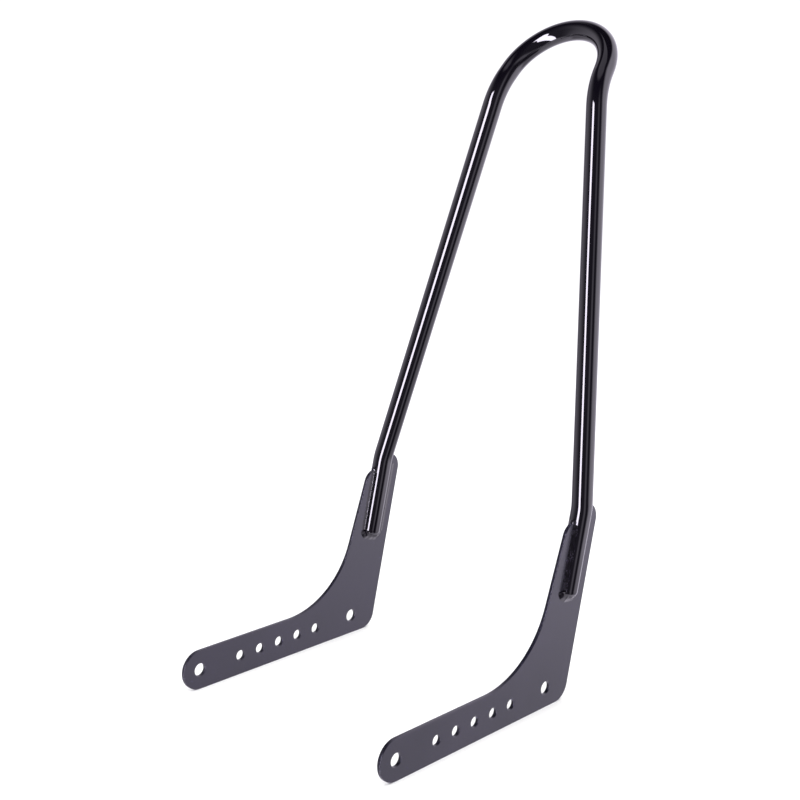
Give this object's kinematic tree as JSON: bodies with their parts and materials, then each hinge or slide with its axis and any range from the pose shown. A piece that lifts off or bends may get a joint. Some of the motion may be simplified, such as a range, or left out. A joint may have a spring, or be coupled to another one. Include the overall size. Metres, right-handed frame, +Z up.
{
  "type": "sissy bar",
  "caption": "Tall A-shaped round-bar sissy bar with a kicked-back closed top, welded into two flat L-shaped side plates with bolt holes.",
  "frame": {"origin": "midway between the two front bolt holes, on their common axis and on the plane of symmetry", "axes": "+X across the vehicle from left to right, +Y to the rear, +Z up"},
  "size_m": [0.2222, 0.3336, 0.5061],
  "materials": {
    "bar": "gloss",
    "plate": "satin",
    "weld": "gloss"
  },
  "bodies": {
    "root": {"hoop": "bar", "left_plate": "plate", "right_plate": "plate", "left_outer_front_weld": "weld", "left_outer_back_weld": "weld", "left_outer_foot_weld": "weld", "left_inner_front_weld": "weld", "left_inner_back_weld": "weld", "left_inner_foot_weld": "weld", "left_mouth_weld": "weld", "right_outer_front_weld": "weld", "right_outer_back_weld": "weld", "right_outer_foot_weld": "weld", "right_inner_front_weld": "weld", "right_inner_back_weld": "weld", "right_inner_foot_weld": "weld", "right_mouth_weld": "weld"}
  },
  "joints": []
}
